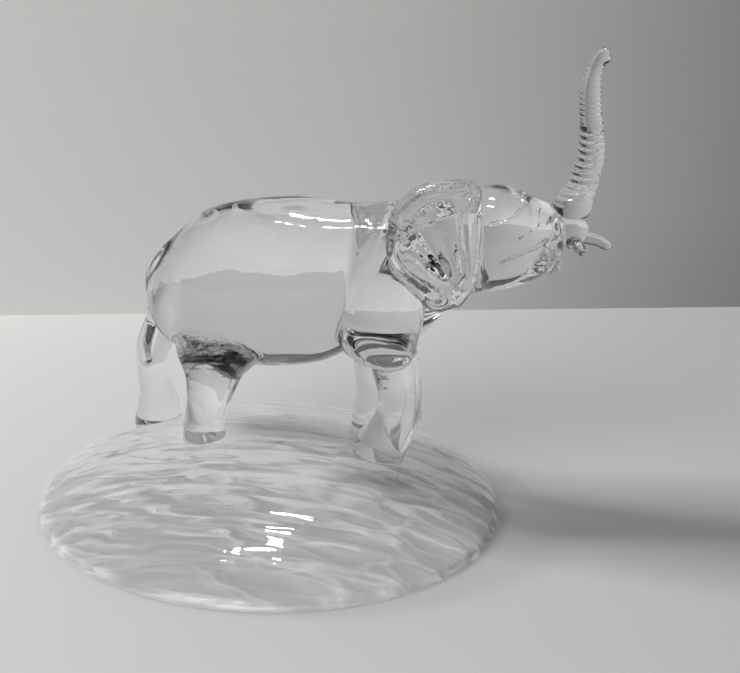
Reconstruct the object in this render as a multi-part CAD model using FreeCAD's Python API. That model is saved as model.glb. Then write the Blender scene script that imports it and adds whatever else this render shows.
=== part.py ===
import FreeCAD, Part
import math
import os
from FreeCAD import Vector

# A clear crystal elephant with its trunk raised, standing on a round domed glass base.
# Millimetres. The origin is the centre of the base's flat underside, +Z is up and +X is the way
# the elephant faces, so its left side is towards +Y. Heights of the figure are measured from the
# crown of the dome, and its places along X from the base's centre.

# ---------------------------------------------------------------- driving dimensions
base_diameter = 160.0      # round glass base
base_height = 27.0         # resting face to the crown of the dome
rim_upright = 3.5          # height of the base's outer edge
dome_overreach = 1.0       # how far past the rim the dome's ellipse would turn upright
rim_round = 1.2            # rounding of the base's lower outer edge

figure_aside = 14.0        # the figure's middle plane, left of the base's centre
stance_half = 14.0         # middle plane to the middle of each leg
bond_film = 0.2            # clear adhesive between each foot and the dome

torso_length = 108.0       # rump to neck joint
torso_width = 50.0         # at its widest, across the belly
rump_x = -46.0             # rear end of the torso

head_length = 35.0         # neck joint to muzzle
head_width = 35.0          # across the cheeks

trunk_rise = 63.0          # muzzle to trunk tip, straight up
trunk_root_radius = 7.2    # trunk where it leaves the muzzle

tusk_radius = 2.0
tusk_left_length = 14.0    # the left tusk, seen in full
tusk_right_length = 8.0    # the right tusk is shorter and turned out further
tusk_left_splay = 12.0     # degrees outwards from straight ahead
tusk_right_splay = 58.0

ear_height = 45.0          # lobe to crown of the ear
ear_length = 31.0          # front seam to rear edge
ear_thickness = 6.0
ear_stand_rear = 18.5      # inner face of the ear to the middle plane, at its rear edge
ear_stand_front = 12.5     # the same at its front seam
ear_right_lobe = 52.5      # crown of the dome to the lowest point of the right ear
ear_left_drop = 9.0        # the left ear was laid on this much lower

shoulder_thickness = 23.0  # across one shoulder gather, side to side
shoulder_out = 2.0         # shoulder's centre further out than the leg's centre

leg_thickness = 15.0       # side-to-side thickness of a leg above the ankle
shoulder_right_back = 24.0 # right shoulder's centre, behind the neck joint
shoulder_left_back = 31.0  # the left foreleg is a step further back
hip_right_ahead = 25.0     # right hip's centre, ahead of the rump
hip_left_ahead = 2.0       # the left hind leg is a step back
leg_root = 22.0            # how far a leg's blank reaches down into the dome before it is trimmed

tail_radius = 3.3          # at the top, where it lies on the rump
tuft_inside = 10.0         # the tuft leans on the left hind leg, this far inside the leg's middle

# ---------------------------------------------------------------- derived places
base_radius = base_diameter / 2
crown = base_height
middle = figure_aside
neck_x = rump_x + torso_length
muzzle_x = neck_x + head_length
shoulder_right_x = neck_x - shoulder_right_back
shoulder_left_x = neck_x - shoulder_left_back
hip_right_x = rump_x + hip_right_ahead
hip_left_x = rump_x + hip_left_ahead
tail_lean = stance_half - tuft_inside
AHEAD = Vector(1, 0, 0)
LEFT = Vector(0, 1, 0)
UP = Vector(0, 0, 1)


# ---------------------------------------------------------------- helpers
def ring(centre, first_axis, second_axis, first_half, second_half):
    """A closed smooth oval through twelve points, which all start at the same side."""
    points = []
    for step in range(12):
        turn = math.radians(30 * step)
        points.append(centre + first_axis * (first_half * math.cos(turn))
                      + second_axis * (second_half * math.sin(turn)))
    curve = Part.BSplineCurve()
    curve.interpolate(Points=points, PeriodicFlag=True)
    return Part.Wire([curve.toShape()])


def loft(rings):
    """A closed solid through a row of rings."""
    solid = Part.makeLoft(rings, True, False)
    if solid.Volume < 0:
        solid.reverse()
    return solid


def main_solid(shape, name):
    """The piece itself, without any crumb that trimming left beside it."""
    solids = sorted(shape.Solids, key=lambda solid: -solid.Volume)
    if len(solids) > 1:
        print(name, "crumbs left by trimming:", [round(s.Volume, 3) for s in solids[1:]])
    return solids[0]


def save(name, shape):
    print(f"{name:18s} solids {len(shape.Solids)} valid {shape.isValid()} "
          f"volume {shape.Volume:9.1f} box {[round(v, 1) for v in box_of(shape)]}")
    shape.exportStep("parts/" + name + ".step")


def box_of(shape):
    box = shape.optimalBoundingBox(False)
    return (box.XMin, box.YMin, box.ZMin, box.XMax, box.YMax, box.ZMax)


def stack(stations, side_y, thickness):
    """A limb: level ovals from the top down. Each station is its height above the crown, its
    place along X, its half length along X and its half thickness as a share of the leg's."""
    rings = []
    for height, along, half_length, share in stations:
        centre = Vector(along, side_y, crown + height)
        rings.append(ring(centre, AHEAD, LEFT, half_length, share * thickness / 2))
    return loft(rings)


def tube(path):
    """A round tapering tube. Each stop of the path is x, y, z and radius."""
    centres = [Vector(x, y, z) for x, y, z, radius in path]
    rings = []
    for number, centre in enumerate(centres):
        before = centres[max(number - 1, 0)]
        after = centres[min(number + 1, len(centres) - 1)]
        ahead = (after - before).normalize()
        side = LEFT - ahead * LEFT.dot(ahead)
        side.normalize()
        other = ahead.cross(side)
        radius = path[number][3]
        rings.append(ring(centre, side, other, radius, radius))
    return loft(rings)


# ---------------------------------------------------------------- base
def dome(lift=0.0):
    """The base as a turned solid: flat underside, short upright rim and an elliptical dome."""
    reach = base_radius + dome_overreach
    rise_share = 1 - math.sqrt(1 - (base_radius / reach) ** 2)
    ellipse_height = (base_height - rim_upright) / rise_share
    ellipse_z = base_height - ellipse_height
    ellipse = Part.Ellipse(Vector(reach, 0, ellipse_z), Vector(0, 0, base_height),
                           Vector(0, 0, ellipse_z))
    arc = Part.ArcOfEllipse(ellipse, math.acos(base_radius / reach), math.pi / 2).toBSpline()
    edges = [Part.makeLine(Vector(0, 0, 0), Vector(base_radius, 0, 0)),
             Part.makeLine(Vector(base_radius, 0, 0), Vector(base_radius, 0, rim_upright)),
             arc.toShape(),
             Part.makeLine(Vector(0, 0, base_height), Vector(0, 0, 0))]
    face = Part.Face(Part.Wire(Part.__sortEdges__(edges)))
    solid = Part.makeSolid(face.revolve(Vector(0, 0, 0), UP, 360))
    if solid.Volume < 0:
        solid.reverse()
    lower_edge = [edge for edge in solid.Edges
                  if edge.BoundBox.ZMax < 0.01 and edge.BoundBox.XMax > base_radius - 0.01]
    solid = solid.makeFillet(rim_round, lower_edge)
    solid.translate(Vector(0, 0, lift))
    return solid


# ---------------------------------------------------------------- torso
def torso_piece():
    """Rump, belly, chest and neck, as upright ovals from back to front. Each station is its
    share of the torso's length, the oval's middle above the crown, its half height and its
    share of the torso's width."""
    stations = [(0.000, 45.5, 5.0, 0.26), (0.018, 46.0, 10.5, 0.50), (0.056, 46.5, 15.0, 0.70),
                (0.102, 48.6, 20.0, 0.83), (0.157, 50.2, 24.2, 0.92), (0.241, 50.9, 27.0, 0.98),
                (0.352, 51.4, 28.8, 1.00), (0.463, 52.1, 29.5, 1.00), (0.574, 53.4, 27.6, 0.98),
                (0.685, 55.9, 25.4, 0.92), (0.796, 57.9, 25.2, 0.84), (0.889, 61.5, 23.0, 0.75),
                (0.963, 66.7, 19.6, 0.69), (1.000, 69.3, 18.2, 0.66)]
    rings = []
    for share, height, half_height, width_share in stations:
        centre = Vector(rump_x + share * torso_length, middle, crown + height)
        rings.append(ring(centre, LEFT, UP, width_share * torso_width / 2, half_height))
    return loft(rings)


# ---------------------------------------------------------------- head, jaw, trunk and tusks
def head_piece():
    """The head from the neck joint, whose oval it shares with the torso, to the muzzle."""
    neck_share = 0.66 * torso_width / head_width
    stations = [(0.00, 69.3, 18.2, neck_share), (0.17, 71.5, 18.3, 1.00), (0.34, 72.9, 17.4, 0.97),
                (0.51, 73.0, 15.6, 0.88), (0.66, 73.2, 13.4, 0.76), (0.80, 74.2, 10.8, 0.62),
                (0.91, 75.2, 7.6, 0.47), (1.00, 75.6, 4.0, 0.27)]
    rings = []
    for share, height, half_height, width_share in stations:
        centre = Vector(neck_x + share * head_length, middle, crown + height)
        rings.append(ring(centre, LEFT, UP, width_share * head_width / 2, half_height))
    return loft(rings)


def jaw_piece():
    """The lower jaw, which ends in a small rounded lip."""
    stations = [(0.30, 62.0, 6.4, 0.60), (0.46, 62.3, 6.2, 0.63), (0.63, 63.9, 5.4, 0.54),
                (0.77, 64.9, 4.4, 0.40), (0.88, 64.6, 3.4, 0.28), (0.95, 64.6, 1.9, 0.16)]
    rings = []
    for share, height, half_height, width_share in stations:
        centre = Vector(neck_x + share * head_length, middle, crown + height)
        rings.append(ring(centre, LEFT, UP, width_share * head_width / 2, half_height))
    return loft(rings)


def trunk_piece():
    """The trunk springs from the muzzle and stands up in a slow double curve. Each stop is its
    place ahead of the muzzle, its share of the rise and its share of the root's radius."""
    stops = [(-5.5, -0.020, 0.70), (-1.5, 0.030, 0.98), (0.8, 0.095, 0.95), (2.4, 0.165, 0.79),
             (3.8, 0.245, 0.71), (4.8, 0.335, 0.665), (5.3, 0.430, 0.625), (5.1, 0.540, 0.575),
             (4.4, 0.650, 0.525), (3.8, 0.740, 0.475), (4.0, 0.815, 0.425), (5.4, 0.895, 0.380),
             (7.6, 0.960, 0.320), (8.7, 0.988, 0.200)]
    root_z = crown + 75.0
    path = [(muzzle_x + ahead, middle, root_z + share * trunk_rise, radius * trunk_root_radius)
            for ahead, share, radius in stops]
    return tube(path)


def tusk_piece(side, length, splay):
    """A short blunt tusk beside the trunk's root, pointing ahead and a little down."""
    turn = math.radians(splay)
    path = []
    for share, thickness in [(-0.35, 1.0), (0.0, 1.0), (0.45, 0.95), (0.80, 0.85), (0.95, 0.60)]:
        reach = share * length
        path.append((muzzle_x + 0.5 + reach * math.cos(turn),
                     middle + side * (4.6 + reach * math.sin(turn)),
                     crown + 75.5 - 0.36 * reach, tusk_radius * thickness))
    return tube(path)


# ---------------------------------------------------------------- ears
def ear_piece(side, lobe_z):
    """A broad ear: its outline cut from a plate that leans out towards the rear."""
    outline = [(0.00, 0.34), (0.09, 0.15), (0.34, 0.00), (0.62, 0.05), (0.86, 0.22), (0.95, 0.46),
               (1.00, 0.72), (0.96, 0.92), (0.78, 1.00), (0.50, 0.96), (0.22, 0.83), (0.04, 0.60)]
    rear_x = neck_x + 7.0 - ear_length
    points = [Vector(rear_x + along * ear_length, 0, lobe_z + high * ear_height)
              for along, high in outline]
    curve = Part.BSplineCurve()
    curve.interpolate(Points=points, PeriodicFlag=True)
    reach = 3 * torso_width
    prism = Part.Face(Part.Wire([curve.toShape()])).extrude(Vector(0, reach, 0))
    prism.translate(Vector(0, -reach / 2 + middle, 0))

    def plate_point(along, stand):
        return Vector(rear_x + along * ear_length, middle + side * stand, lobe_z - ear_height)
    rear, front = -0.2, 1.2
    slope = ear_stand_front - ear_stand_rear
    corners = [plate_point(rear, ear_stand_rear + rear * slope),
               plate_point(front, ear_stand_rear + front * slope),
               plate_point(front, ear_stand_rear + front * slope + ear_thickness),
               plate_point(rear, ear_stand_rear + rear * slope + ear_thickness)]
    plate = Part.Face(Part.makePolygon(corners + corners[:1])).extrude(Vector(0, 0, 3 * ear_height))
    return prism.common(plate)


# ---------------------------------------------------------------- limbs
def shoulder_piece(side, along):
    """The rounded gather that carries a front leg and stands proud of the torso."""
    stations = [(69.0, along + 5.0, 3.2, 0.30), (65.0, along + 4.2, 8.0, 0.66),
                (57.0, along + 2.4, 12.4, 0.93), (48.0, along + 1.0, 14.2, 1.00),
                (39.5, along + 0.4, 13.0, 0.93), (33.5, along + 1.8, 9.4, 0.74),
                (29.5, along + 3.0, 5.0, 0.46)]
    return stack(stations, middle + side * (stance_half + shoulder_out), shoulder_thickness)


def leg_piece(side, stations):
    """A leg, whose last oval is carried straight down into the dome for trimming."""
    lowest, along, half_length, share = stations[-1]
    root = [(lowest - leg_root * step / 3, along, half_length, share) for step in (1, 2, 3)]
    return stack(stations + root, middle + side * stance_half, leg_thickness)



FRONT_RIGHT = [(37.5, shoulder_right_x + 3.4, 7.4, 0.90), (29.0, shoulder_right_x + 4.4, 8.2, 0.98),
               (22.0, shoulder_right_x + 5.2, 7.7, 0.96), (15.0, shoulder_right_x + 5.2, 7.6, 1.00),
               (9.5, shoulder_right_x + 3.8, 8.4, 1.05), (3.5, shoulder_right_x + 1.2, 9.2, 1.12),
               (-3.0, shoulder_right_x - 0.3, 9.3, 1.15)]
FRONT_LEFT = [(38.5, shoulder_left_x + 3.4, 7.0, 0.92), (29.0, shoulder_left_x + 2.4, 7.6, 0.98),
              (22.0, shoulder_left_x + 1.0, 7.0, 0.94), (12.0, shoulder_left_x + 0.8, 6.8, 0.94),
              (4.0, shoulder_left_x + 0.3, 7.0, 1.00), (-3.0, shoulder_left_x + 0.0, 7.4, 1.08)]
HIND_RIGHT = [(40.0, hip_right_x + 2.0, 12.0, 0.75), (32.0, hip_right_x + 1.6, 14.4, 1.10),
              (24.0, hip_right_x + 0.8, 11.2, 1.12), (18.0, hip_right_x - 0.3, 8.6, 1.02),
              (12.0, hip_right_x - 1.5, 7.5, 0.98), (5.0, hip_right_x - 2.5, 7.3, 1.00),
              (-1.0, hip_right_x - 2.9, 7.5, 1.10)]
HIND_LEFT = [(44.0, hip_left_x + 9.0, 7.0, 0.45), (34.0, hip_left_x + 5.0, 10.0, 0.95),
             (26.0, hip_left_x + 0.5, 8.6, 1.08), (19.0, hip_left_x - 2.8, 6.6, 0.98),
             (12.0, hip_left_x - 4.2, 5.8, 0.96), (5.0, hip_left_x - 3.6, 6.4, 1.00),
             (-1.0, hip_left_x - 3.0, 7.6, 1.12)]


# ---------------------------------------------------------------- tail
def tail_piece():
    """The tail lies on the rump and hangs behind the thighs, ending in a flared tuft."""
    stops = [(13.5, 72.0, 0.45, 0.0), (10.0, 68.4, 0.80, 0.0), (5.5, 62.6, 1.00, 0.0),
             (1.2, 55.5, 1.00, 0.1), (-0.6, 47.0, 0.86, 0.25), (-0.6, 39.0, 0.76, 0.5),
             (-1.0, 31.5, 1.00, 0.8), (-0.9, 24.5, 1.30, 1.0), (-0.6, 18.0, 1.35, 1.0)]
    path = [(rump_x + ahead, middle + lean * tail_lean, crown + high, share * tail_radius)
            for ahead, high, share, lean in stops]
    return tube(path)


# ---------------------------------------------------------------- assembly
def build():
    os.makedirs("parts", exist_ok=True)
    base = dome()
    raised_dome = dome(bond_film)

    torso = torso_piece()
    head = head_piece()
    jaw = main_solid(jaw_piece().cut(head), "lower_jaw")
    trunk = main_solid(trunk_piece().cut(head), "trunk")

    pieces = {"base": base, "torso": torso, "head": head, "lower_jaw": jaw, "trunk": trunk}

    for word, side, length, splay in [("left", 1, tusk_left_length, tusk_left_splay),
                                      ("right", -1, tusk_right_length, tusk_right_splay)]:
        tusk = tusk_piece(side, length, splay).cut(head).cut(trunk)
        pieces["tusk_" + word] = main_solid(tusk, "tusk_" + word)

    ear_z = crown + ear_right_lobe
    limbs = [("left", 1, shoulder_left_x, FRONT_LEFT, HIND_LEFT, ear_z - ear_left_drop),
             ("right", -1, shoulder_right_x, FRONT_RIGHT, HIND_RIGHT, ear_z)]
    for word, side, shoulder_x, front_stations, hind_stations, lobe_z in limbs:
        shoulder = main_solid(shoulder_piece(side, shoulder_x).cut(torso), "shoulder_" + word)
        front = leg_piece(side, front_stations).cut(torso).cut(shoulder)
        hind = leg_piece(side, hind_stations).cut(torso)
        for place, limb in [("front", front), ("hind", hind)]:
            leg = main_solid(limb.cut(raised_dome), place + "_leg_" + word)
            bond = main_solid(limb.common(raised_dome).cut(base), place + "_bond_" + word)
            pieces[place + "_leg_" + word] = leg
            pieces[place + "_bond_" + word] = bond
        ear = ear_piece(side, lobe_z).cut(torso).cut(head).cut(shoulder)
        pieces["shoulder_" + word] = shoulder
        pieces["ear_" + word] = main_solid(ear, "ear_" + word)

    tail = tail_piece().cut(torso).cut(pieces["hind_leg_left"])
    pieces["tail"] = main_solid(tail, "tail")

    for name, shape in pieces.items():
        save(name, shape)


build()
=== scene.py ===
# %% [markdown]
# # A glass elephant on a domed base
# The ornament is solid, hot-worked glass: a body with a head, ears, trunk, tusks, legs and a tail
# laid on it as further gathers, standing on a cast dome that is polished on top and frosted below.
# This lesson first opens the fixed frame, because every piece takes its place from it.

# %% Open the frame
import bmesh
import bpy
import math
import numpy as np
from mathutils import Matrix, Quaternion, Vector


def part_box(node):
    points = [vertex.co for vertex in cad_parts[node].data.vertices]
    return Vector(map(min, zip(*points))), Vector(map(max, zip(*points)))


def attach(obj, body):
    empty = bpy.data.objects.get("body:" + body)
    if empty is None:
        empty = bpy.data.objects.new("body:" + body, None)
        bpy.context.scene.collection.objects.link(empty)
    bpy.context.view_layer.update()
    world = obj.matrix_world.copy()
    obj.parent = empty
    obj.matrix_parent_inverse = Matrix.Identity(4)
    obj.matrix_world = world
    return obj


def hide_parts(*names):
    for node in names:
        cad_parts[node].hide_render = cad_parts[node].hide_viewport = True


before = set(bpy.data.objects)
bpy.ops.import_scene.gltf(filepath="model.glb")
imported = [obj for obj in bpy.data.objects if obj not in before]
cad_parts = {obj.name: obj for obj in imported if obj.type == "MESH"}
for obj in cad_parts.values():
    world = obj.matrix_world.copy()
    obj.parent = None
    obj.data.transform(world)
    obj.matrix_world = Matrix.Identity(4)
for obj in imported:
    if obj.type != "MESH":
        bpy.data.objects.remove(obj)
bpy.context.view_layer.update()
print("frame nodes:", len(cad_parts))

# %% [markdown]
# ## Where the figure stands
# A glass worker thinks of the animal by itself: how far ahead of the rump, how far to its left and
# how high above the top of the dome. So the figure is described in millimetres in those three
# directions, and one function carries a point from there into the frame.

# %% Places of the figure and the base
MM = 0.001
torso_low, torso_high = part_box("torso")
base_low, base_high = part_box("base")
RUMP = torso_low.x
MIDDLE = (torso_low.y + torso_high.y) / 2
CROWN = base_high.z
HOME = np.array([RUMP, MIDDLE, CROWN])
BASE_RADIUS = (base_high.x - base_low.x) / 2
AHEAD, LEFT, UP = 0, 1, 2


def to_frame(points):
    """Points in metres in the frame, from rows of millimetres ahead, left and up."""
    return HOME + MM * points


print("rump, middle and crown in mm:", np.round(HOME / MM, 1))

# %% [markdown]
# ## The base's outline
# The top of the base is a quarter of an ellipse turned about the middle. It reaches a little past
# the rim, so that the dome still leans inwards where it meets the upright edge. The feet are cut
# to this surface, so it comes before the figure.

# %% The dome as a height
DOME_REACH = BASE_RADIUS + 1 * MM
RIM = 3.5 * MM
EDGE_SLOPE = math.asin(BASE_RADIUS / DOME_REACH)
DOME_DROP = (CROWN - RIM) / (1 - math.cos(EDGE_SLOPE))
FILM = 0.2


def dome_up(points):
    """How high the dome's surface is above its crown, in mm, under or over each point."""
    x = RUMP / MM + points[AHEAD]
    y = MIDDLE / MM + points[LEFT]
    inside = 1 - (x * x + y * y) / (DOME_REACH / MM) ** 2
    return -DOME_DROP / MM * (1 - np.sqrt(np.maximum(inside, 0)))


print("the dome drops", round(DOME_DROP / MM, 2), "mm")

# %% [markdown]
# ## Smooth lines through a few stations
# Hot glass has no corners, so every centre line and every thickness is a smooth curve through a
# few stations. A natural cubic spline bends the least of all curves through its points, as a thread
# of soft glass does. It also gives its slope, which the shapes need.

# %% A natural spline
class Curve:
    """A smooth value along a line, straight beyond its first and last stations."""

    def __init__(self, at, values):
        self.at = np.array(at, float)
        self.values = np.array(values, float)
        self.gaps = np.diff(self.at)
        steps = np.diff(self.values) / self.gaps
        count = len(self.at)
        table = np.eye(count)
        turns = np.zeros(count)
        for i in range(1, count - 1):
            table[i, i - 1] = self.gaps[i - 1]
            table[i, i] = 2 * (self.gaps[i - 1] + self.gaps[i])
            table[i, i + 1] = self.gaps[i]
            turns[i] = 6 * (steps[i] - steps[i - 1])
        self.bends = np.linalg.solve(table, turns)

    def __call__(self, t):
        """The value and the slope at each t."""
        held = np.clip(t, self.at[0], self.at[-1])
        i = np.clip(np.searchsorted(self.at, held) - 1, 0, len(self.gaps) - 1)
        gap = self.gaps[i]
        b = (held - self.at[i]) / gap
        a = 1 - b
        bend_a = self.bends[i] * gap / 6
        bend_b = self.bends[i + 1] * gap / 6
        start = self.values[i]
        end = self.values[i + 1]
        value = a * start + b * end + gap * ((a**3 - a) * bend_a + (b**3 - b) * bend_b)
        slope = (end - start) / gap - (3 * a * a - 1) * bend_a + (3 * b * b - 1) * bend_b
        return value + slope * (t - held), slope


# %% [markdown]
# ## Three kinds of gather
# Each gather is written as a distance: negative inside the glass, zero on its skin. Distances join
# softly, as two hot bits of glass run into each other, which is why they suit this piece better
# than meshes do. A loft has oval sections along one axis, a rod follows a path, and a drop is
# a ball.

# %% Lofts, rods and drops
class Loft:
    """Ovals along one axis. A row is the place, two centres and two half sizes (0 at a tip)."""

    def __init__(self, axes, rows):
        self.axes = axes
        rows = np.array(rows, float)
        place = rows[:, 0]
        self.first = Curve(place, rows[:, 1])
        self.second = Curve(place, rows[:, 2])
        self.square = Curve(place, rows[:, 3] ** 2)
        full = rows[rows[:, 3] > 0]
        self.ends = (full[0, 0], full[-1, 0])
        self.aspect = Curve(full[:, 0], full[:, 4] / full[:, 3])
        self.low = np.empty(3)
        self.high = np.empty(3)
        self.low[axes[0]], self.high[axes[0]] = place.min(), place.max()
        for axis, centre, half in ((axes[1], 1, 3), (axes[2], 2, 4)):
            self.low[axis] = (rows[:, centre] - rows[:, half]).min()
            self.high[axis] = (rows[:, centre] + rows[:, half]).max()

    def __call__(self, p):
        t = p[self.axes[0]]
        c1, s1 = self.first(t)
        c2, s2 = self.second(t)
        square, rise = self.square(t)
        aspect, widen = self.aspect(np.clip(t, *self.ends))
        v = p[self.axes[1]] - c1
        u = (p[self.axes[2]] - c2) / aspect
        f = v * v + u * u - square
        along = v * s1 + u * (s2 + u * widen) / aspect + rise / 2
        g = np.sqrt(v * v + (u / aspect) ** 2 + along * along)
        return f / (g + np.sqrt(np.maximum(g * g - f, 0)) + 1e-6)


class Rod:
    """A round rod along a smooth path. A row is ahead, left, up and the radius."""

    def __init__(self, rows, piece_length=1.5):
        rows = np.array(rows, float)
        run = np.r_[0, np.cumsum(np.linalg.norm(np.diff(rows[:, :3], axis=0), axis=1))]
        t = np.linspace(0, run[-1], max(3, int(run[-1] / piece_length) + 1))
        self.line = np.array([Curve(run, column)(t)[0] for column in rows.T]).T
        self.low = (self.line[:, :3] - self.line[:, 3:]).min(0)
        self.high = (self.line[:, :3] + self.line[:, 3:]).max(0)

    def __call__(self, p):
        best = np.full(p.shape[1], 1e3)
        for start, end in zip(self.line[:-1], self.line[1:]):
            path = end[:3] - start[:3]
            away = p - start[:3, None]
            t = np.clip(path @ away / (path @ path), 0, 1)
            away = away - path[:, None] * t
            reach = np.sqrt((away * away).sum(0))
            best = np.minimum(best, reach - start[3] - t * (end[3] - start[3]))
        return best


class Drop:
    """A ball at (ahead, left, up)."""

    def __init__(self, centre, radius):
        self.centre = np.array(centre, float)
        self.radius = radius
        self.low = self.centre - radius
        self.high = self.centre + radius

    def __call__(self, p):
        away = p - self.centre[:, None]
        return np.sqrt((away * away).sum(0)) - self.radius


def soft_min(a, b, k):
    """The lower of two distances, with the corner between them filled over about k mm."""
    return np.minimum(a, b) - np.maximum(k - np.abs(a - b), 0) ** 2 / (4 * k)


def soft_max(a, b, k):
    return -soft_min(-a, -b, k)


def fade(value, start, end):
    """0 before start, 1 after end and a smooth change between them."""
    t = np.clip((value - start) / (end - start), 0, 1)
    return t * t * (3 - 2 * t)


# %% [markdown]
# ## Bits of glass in the order they are laid on
# A bit is a shape, the name of the piece it belongs to and how softly it runs into what is already
# there. The right side of the elephant has negative "left" values, so a shape made for the right
# side is turned over for the left one.

# %% A bit and the list of them
class Bit:
    """One gather of glass that belongs to a named piece."""

    def __init__(self, piece, shape, blend, flip=False, moved=(0, 0, 0)):
        self.piece = piece
        self.shape = shape
        self.blend = blend
        self.turn = np.array([1, -1 if flip else 1, 1.0])
        self.moved = np.array(moved, float)
        ends = np.sort([shape.low * self.turn, shape.high * self.turn], axis=0)
        self.low, self.high = ends + self.moved

    def near(self, p, reach):
        """Which points are within reach of the bit's box."""
        low = self.low[:, None] - reach
        high = self.high[:, None] + reach
        return ((p >= low) & (p <= high)).all(0)

    def distance(self, p):
        return self.shape((p - self.moved[:, None]) * self.turn[:, None])


bits = []


def lay(piece, shape, blend, flip=False, moved=(0, 0, 0)):
    bits.append(Bit(piece, shape, blend, flip, moved))


# %% [markdown]
# ## Torso and head
# The body and the head are one long gather, drawn in at the neck. Its sections are ovals along
# the length of the animal, so one loft makes both and a flat cut parts them later.

# %% Body and head
lay("torso", Loft((AHEAD, UP, LEFT), [
    (-0.6, 44.5, 0, 0, 0), (2.2, 44.3, 0, 8.5, 10), (6.4, 45.4, 0, 14.8, 16.5),
    (13, 48.6, 0, 22, 21.3), (23.3, 50.5, 0, 26.6, 24.3), (38, 51.6, 0, 29, 25.1),
    (50, 52.4, 0, 29.5, 25), (62, 53.6, 0, 27.7, 24.4), (74, 56.4, 0, 24.8, 22.8),
    (87, 58.4, 0, 24.8, 20.5), (95, 60.3, 0, 23.8, 18.8), (103, 65.9, 0, 19.9, 17),
    (110, 70.2, 0, 18.1, 16.8), (118, 72.5, 0, 17.8, 17.4), (127, 73, 0, 15.3, 15.2),
    (134, 73.7, 0, 12, 12), (139.5, 75, 0, 8.2, 8.6), (143.4, 75.6, 0, 0, 0),
]), 1)

# %% [markdown]
# ## Tail
# The tail is a thin trail of glass drawn from the rump down to the left hind leg, where its end
# was pressed into a small tuft.

# %% Tail
lay("tail", Rod([
    (19.1, 0, 70.5, 1), (13.6, 0, 67.3, 1.8), (9.1, 0, 63.8, 2), (5.3, 0, 60, 2),
    (2.5, 0.5, 55.8, 2), (0.4, 1, 50.5, 2.1), (0.1, 2, 44, 1.9), (-0.1, 3, 37.8, 1.6),
    (-1.5, 4, 31.8, 1.7), (-3.2, 5, 26, 1.9), (-3.6, 5.5, 21.8, 2), (-3.3, 5.5, 18.5, 1.8),
]), 2)

# %% [markdown]
# ## Legs and shoulders
# Each leg is a short column of glass, oval in section, that flares where it meets the dome. The
# forelegs hang from a round shoulder gather that was laid on the chest. The level sections are
# lofts along "up", and the legs run on below the dome until they are cut to it.

# %% Legs and shoulders
STANCE = 14
COLUMN = (UP, AHEAD, LEFT)


def upright(left, rows):
    """Level ovals one above another. A row is up, ahead and the half sizes ahead and left."""
    return Loft(COLUMN, [(up, ahead, left, long, thick) for up, ahead, long, thick in rows])


lay("hind_leg_right", upright(-STANCE, [
    (-16, 22.2, 7.3, 8), (-5, 22.2, 7.3, 8), (0, 22.3, 7.3, 8),
    (6, 22.6, 7.2, 7.5), (12, 23.7, 7.5, 7.4), (18, 24.9, 8.8, 7.8),
    (23, 25.8, 10.8, 8.6), (29, 27.3, 14.6, 9.3), (38, 27.1, 13, 8),
    (45, 27, 0, 0),
]), 2)
lay("hind_leg_left", upright(STANCE, [
    (-18, -0.9, 8.1, 8.6), (-12, -0.9, 8.1, 8.6), (-6, -0.9, 8.1, 8.6),
    (-1, -0.7, 7.4, 8.2), (5, -1.5, 6.1, 7.4), (11, -2.6, 5.4, 7.2),
    (18, -2.8, 5.8, 7.6), (25, 0, 7.5, 8.5), (33, 4.5, 9, 9),
    (43, 9, 8, 7), (50, 11, 0, 0),
]), 2.5)
lay("front_leg_right", upright(-STANCE, [
    (-16, 83, 8.8, 8.2), (-12, 83, 8.8, 8.2), (-4, 83, 9, 8.4),
    (0, 83.8, 9.4, 8.4), (5.5, 86.4, 9.6, 8), (10, 88.8, 8.6, 7.6),
    (15, 89.8, 7.5, 7.2), (23, 89.2, 7.7, 7.1), (30, 87.8, 8.2, 7.4),
    (35, 87.7, 7.4, 6.5), (42, 88, 0, 0),
]), 1)
lay("front_leg_left", upright(STANCE, [
    (-16, 77, 7, 7.8), (-2, 77, 7, 7.8), (5, 77, 6.5, 7.2),
    (12, 77.2, 6.2, 6.8), (22, 77.2, 7.1, 7), (29, 77.9, 7.6, 7.2),
    (38, 79, 7, 6.5), (44, 79, 0, 0),
]), 1)


def shoulder(side, shift):
    """The round gather above a foreleg, fullest low down, where it hangs over the leg."""
    rows = [(29.3, 85, 0, 0), (31, 84.5, 7.5, 8), (34, 83, 11.3, 11), (38, 82, 13.2, 12),
            (43.5, 82, 14, 11.8), (50, 82.6, 13.6, 10.8), (56, 83.8, 12.2, 9.4),
            (62.5, 85.8, 9.6, 7.2), (69, 88.5, 5.2, 4), (73, 90.5, 0, 0)]
    return upright(16 * side, [(up, ahead + shift, long, thick) for up, ahead, long, thick in rows])


lay("shoulder_right", shoulder(-1, 0), 1)
lay("shoulder_left", shoulder(1, -7), 1)

# %% [markdown]
# ## Jaw, trunk and tusks
# The jaw is a short gather under the head with a small round lip. The trunk was drawn upwards from
# a round muzzle and pinched into rings while it was soft: the rings are shallow grooves, closest
# together low on the back of the trunk. The tusks are two blunt drops.

# %% Jaw
lay("lower_jaw", Loft((AHEAD, UP, LEFT), [
    (105, 66, 0, 6, 10), (112, 66, 0, 9, 13), (119, 65, 0, 10, 13.2), (126, 65, 0, 8.3, 12),
    (131, 65, 0, 6.4, 10), (136, 64.8, 0, 4, 6.5), (139.5, 64.6, 0, 0, 0),
]), 2)
lay("lower_jaw", Drop((138, 0, 64.4), 3.2), 1.5)


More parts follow.
